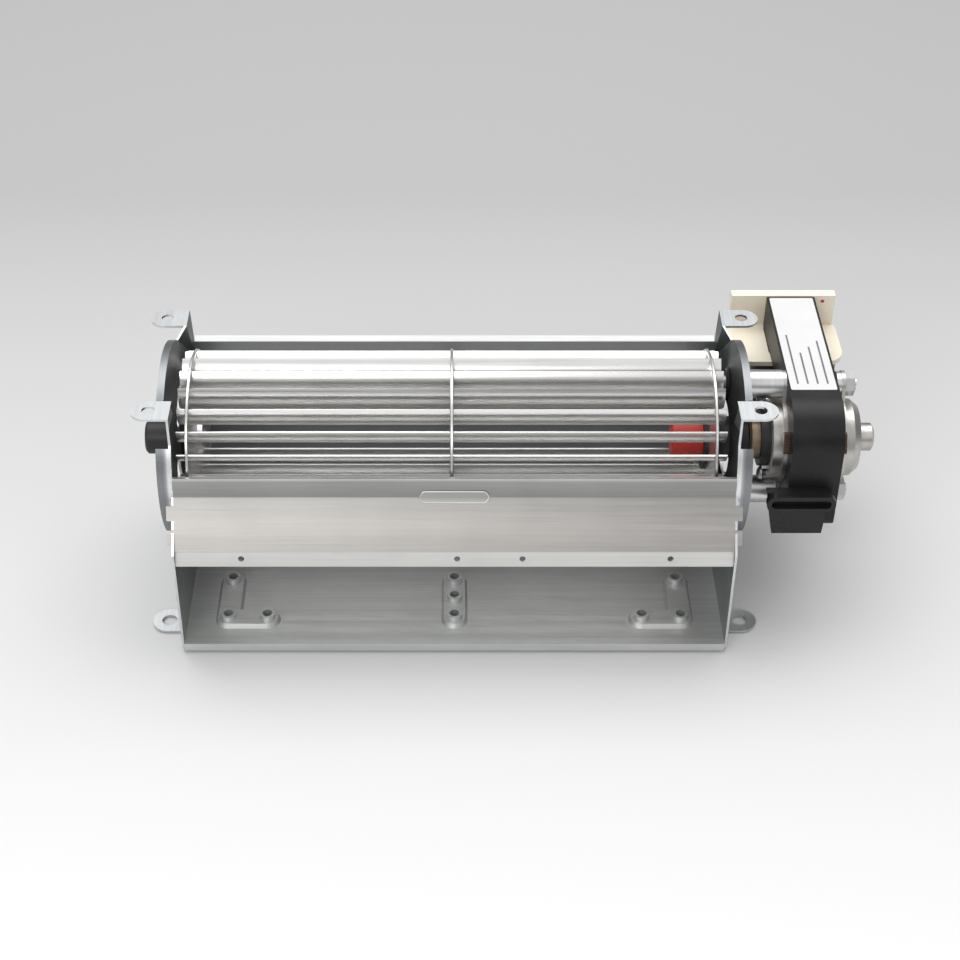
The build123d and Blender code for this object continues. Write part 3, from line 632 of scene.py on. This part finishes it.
# ---- Stage: pale floor, soft lamps and the camera ----
# A floor that fades from white in front to grey behind, one large lamp above and behind that the
# bright strips mirror, and a fill from the front.
floor_half = 3.0
floor_level = -0.0005
floor_mesh = bpy.data.meshes.new("floor")
floor_mesh.from_pydata([(-floor_half, -floor_half, floor_level), (floor_half, -floor_half, floor_level),
                        (floor_half, floor_half, floor_level), (-floor_half, floor_half, floor_level)],
                       [], [(0, 1, 2, 3)])
floor = bpy.data.objects.new("floor", floor_mesh)
bpy.context.scene.collection.objects.link(floor)
paper, paper_nodes, paper_links, paper_shader = new_material("floor_paper")
paper_place = paper_nodes.new("ShaderNodeTexCoord")
paper_split = paper_nodes.new("ShaderNodeSeparateXYZ")
paper_links.new(paper_place.outputs["Object"], paper_split.inputs["Vector"])
paper_fade = paper_nodes.new("ShaderNodeMapRange")
paper_fade.inputs["From Min"].default_value = -0.20
paper_fade.inputs["From Max"].default_value = 0.30
paper_links.new(paper_split.outputs["Y"], paper_fade.inputs["Value"])
paper_colour = ramp((paper_nodes, paper_links), paper_fade.outputs["Result"],
                    [(0.0, (0.81, 0.81, 0.81)), (1.0, (0.42, 0.42, 0.42))])
paper_links.new(paper_colour, paper_shader.inputs["Base Color"])
paper_shader.inputs["Roughness"].default_value = 0.9
floor_mesh.materials.append(paper)


def soft_lamp(name, place, aim, width, depth, power):
    """A rectangular area lamp at place, turned to face aim."""
    data = bpy.data.lights.new(name, "AREA")
    data.shape = "RECTANGLE"
    data.size = width
    data.size_y = depth
    data.energy = power
    lamp = bpy.data.objects.new(name, data)
    lamp.location = place
    direction = [a - p for a, p in zip(aim, place)]
    yaw = math.atan2(direction[0], direction[1])
    reach = math.hypot(direction[0], direction[1])
    pitch = math.atan2(-direction[2], reach)
    lamp.rotation_euler = (math.pi / 2 - pitch, 0, -yaw)
    bpy.context.scene.collection.objects.link(lamp)
    return lamp


soft_lamp("top_lamp", (0.0, 0.40, 1.15), (0, 0.02, 0.04), 1.5, 0.9, 11.0)
soft_lamp("front_lamp", (-0.35, -0.95, 0.75), (0, 0, 0.04), 0.7, 0.4, 4.2)
world = bpy.data.worlds.new("studio")
world.use_nodes = True
studio = world.node_tree
studio_side = studio.nodes.new("ShaderNodeTexCoord")
studio_split = studio.nodes.new("ShaderNodeSeparateXYZ")
studio.links.new(studio_side.outputs["Generated"], studio_split.inputs["Vector"])
studio_height = studio.nodes.new("ShaderNodeMapRange")
studio_height.inputs["From Min"].default_value = -1.0
studio.links.new(studio_split.outputs["Z"], studio_height.inputs["Value"])
studio_colour = ramp((studio.nodes, studio.links), studio_height.outputs["Result"],
                     [(0.45, (0.14, 0.14, 0.15)), (0.60, (0.26, 0.26, 0.27)), (0.78, (1.0, 1.0, 1.0))])
studio.links.new(studio_colour, studio.nodes["Background"].inputs["Color"])
studio.nodes["Background"].inputs["Strength"].default_value = 0.75
bpy.context.scene.world = world

camera_data = bpy.data.cameras.new("camera")
camera_data.lens = 70.28
camera_data.sensor_width = 36.0
camera_data.shift_x = 0.0266
camera_data.shift_y = -0.0119
camera_data.clip_start = 0.01
camera = bpy.data.objects.new("camera", camera_data)
camera.location = (0.0, -0.48090, 0.44404)
camera.rotation_euler = (math.radians(90 - 38.05), 0, 0)
bpy.context.scene.collection.objects.link(camera)
bpy.context.scene.camera = camera
bpy.context.scene.view_settings.view_transform = "Standard"
